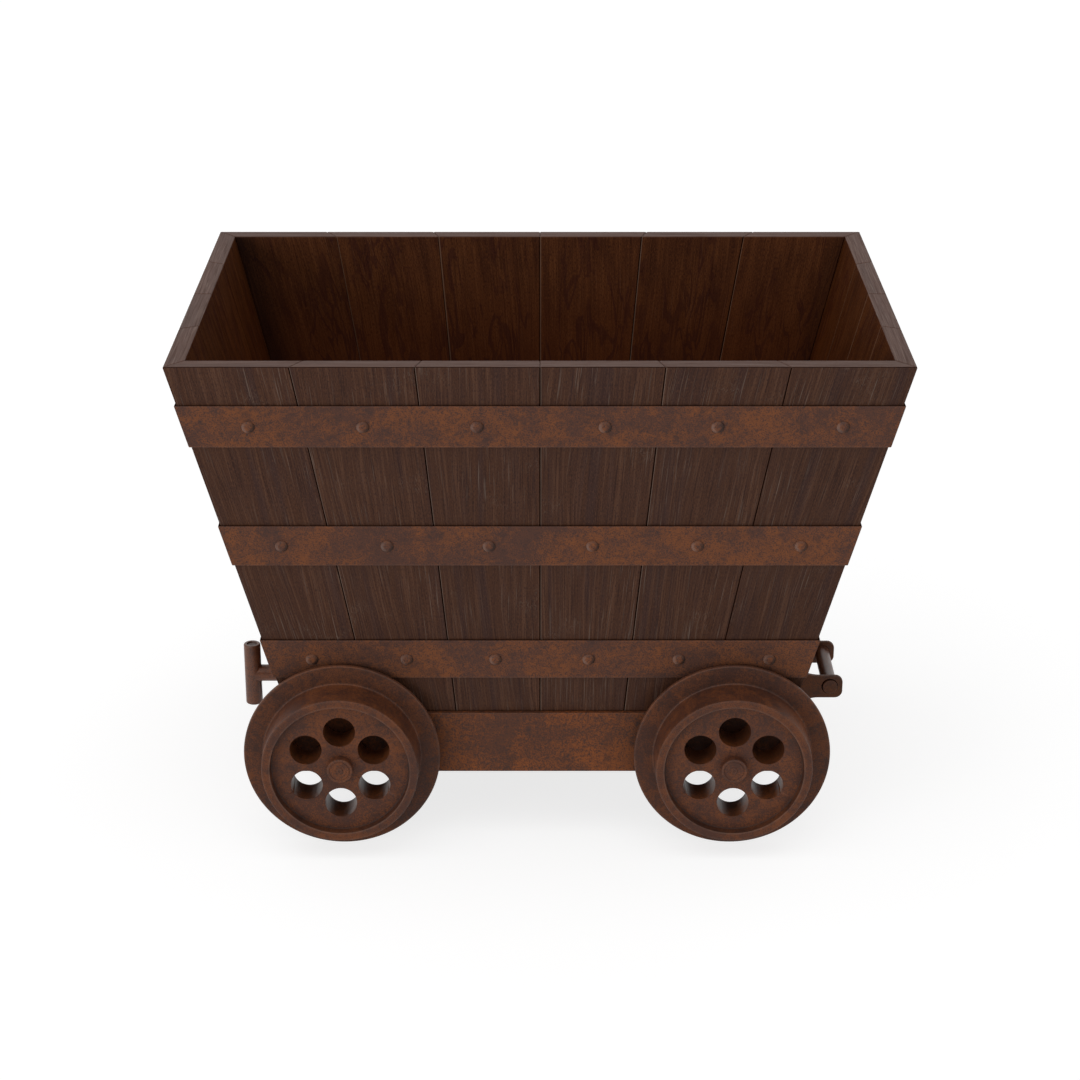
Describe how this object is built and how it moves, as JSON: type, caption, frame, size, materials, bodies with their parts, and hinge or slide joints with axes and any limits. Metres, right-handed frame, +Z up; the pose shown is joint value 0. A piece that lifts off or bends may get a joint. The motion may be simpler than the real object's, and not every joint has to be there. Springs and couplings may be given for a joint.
{
  "type": "mine cart",
  "caption": "Ore cart: tapered plank tub with riveted iron hoops on an iron frame, flanged cast wheels turning on fixed axles, drawbar at one end and pin hitch at the other.",
  "frame": {"origin": "on the floor under the middle of the tub, where the wheel flanges stand", "axes": "+X along the cart towards the hitch end, -X towards the drawbar end, +Y across towards the far side, +Z up"},
  "size_m": [1.399, 0.954, 1.0325],
  "materials": {
    "plank_wood": "dark weathered plank, grain up and down",
    "floor_wood": "worn, dirty boards",
    "hoop_iron": "rusted flat bar",
    "frame_iron": "rusted rolled section",
    "wheel_iron": "rusted casting, edges worn bright",
    "axle_steel": "oiled turned bar",
    "bush_bronze": "bearing bronze",
    "coupler_iron": "forged, rusted, rubbed in use"
  },
  "bodies": {
    "cart": {"drawbar": "coupler_iron", "drawbar_axle": "axle_steel", "drawbar_cross_bearer": "frame_iron", "drawbar_end_beam": "frame_iron", "drawbar_end_plank_1": "plank_wood", "drawbar_end_plank_2": "plank_wood", "drawbar_end_plank_3": "plank_wood", "drawbar_end_plank_4": "plank_wood", "drawbar_nut": "axle_steel", "far_drawbar_axle_block": "frame_iron", "far_drawbar_collar": "axle_steel", "far_drawbar_hub_cap": "wheel_iron", "far_hitch_axle_block": "frame_iron", "far_hitch_collar": "axle_steel", "far_hitch_hub_cap": "wheel_iron", "far_side_plank_1": "plank_wood", "far_side_plank_2": "plank_wood", "far_side_plank_3": "plank_wood", "far_side_plank_4": "plank_wood", "far_side_plank_5": "plank_wood", "far_side_plank_6": "plank_wood", "far_side_sill": "frame_iron", "floor_board_1": "floor_wood", "floor_board_2": "floor_wood", "floor_board_3": "floor_wood", "floor_board_4": "floor_wood", "hitch_axle": "axle_steel", "hitch_bracket": "coupler_iron", "hitch_cross_bearer": "frame_iron", "hitch_end_beam": "frame_iron", "hitch_end_plank_1": "plank_wood", "hitch_end_plank_2": "plank_wood", "hitch_end_plank_3": "plank_wood", "hitch_end_plank_4": "plank_wood", "hitch_pin": "coupler_iron", "lower_hoop": "hoop_iron", "middle_hoop": "hoop_iron", "near_drawbar_axle_block": "frame_iron", "near_drawbar_collar": "axle_steel", "near_drawbar_hub_cap": "wheel_iron", "near_hitch_axle_block": "frame_iron", "near_hitch_collar": "axle_steel", "near_hitch_hub_cap": "wheel_iron", "near_side_plank_1": "plank_wood", "near_side_plank_2": "plank_wood", "near_side_plank_3": "plank_wood", "near_side_plank_4": "plank_wood", "near_side_plank_5": "plank_wood", "near_side_plank_6": "plank_wood", "near_side_sill": "frame_iron", "upper_hoop": "hoop_iron"},
    "near_drawbar_wheel_set": {"near_drawbar_wheel": "wheel_iron", "near_drawbar_bush": "bush_bronze"},
    "near_hitch_wheel_set": {"near_hitch_wheel": "wheel_iron", "near_hitch_bush": "bush_bronze"},
    "far_drawbar_wheel_set": {"far_drawbar_wheel": "wheel_iron", "far_drawbar_bush": "bush_bronze"},
    "far_hitch_wheel_set": {"far_hitch_wheel": "wheel_iron", "far_hitch_bush": "bush_bronze"}
  },
  "joints": [
    {"name": "near_drawbar_wheel_turn", "type": "hinge", "parent": "cart", "child": "near_drawbar_wheel_set", "pos_m": [-0.3955, -0.397, 0.196], "axis": [0, 1, 0], "continuous": true},
    {"name": "near_hitch_wheel_turn", "type": "hinge", "parent": "cart", "child": "near_hitch_wheel_set", "pos_m": [0.3835, -0.397, 0.196], "axis": [0, 1, 0], "continuous": true},
    {"name": "far_drawbar_wheel_turn", "type": "hinge", "parent": "cart", "child": "far_drawbar_wheel_set", "pos_m": [-0.3955, 0.397, 0.196], "axis": [0, 1, 0], "continuous": true},
    {"name": "far_hitch_wheel_turn", "type": "hinge", "parent": "cart", "child": "far_hitch_wheel_set", "pos_m": [0.3835, 0.397, 0.196], "axis": [0, 1, 0], "continuous": true}
  ]
}
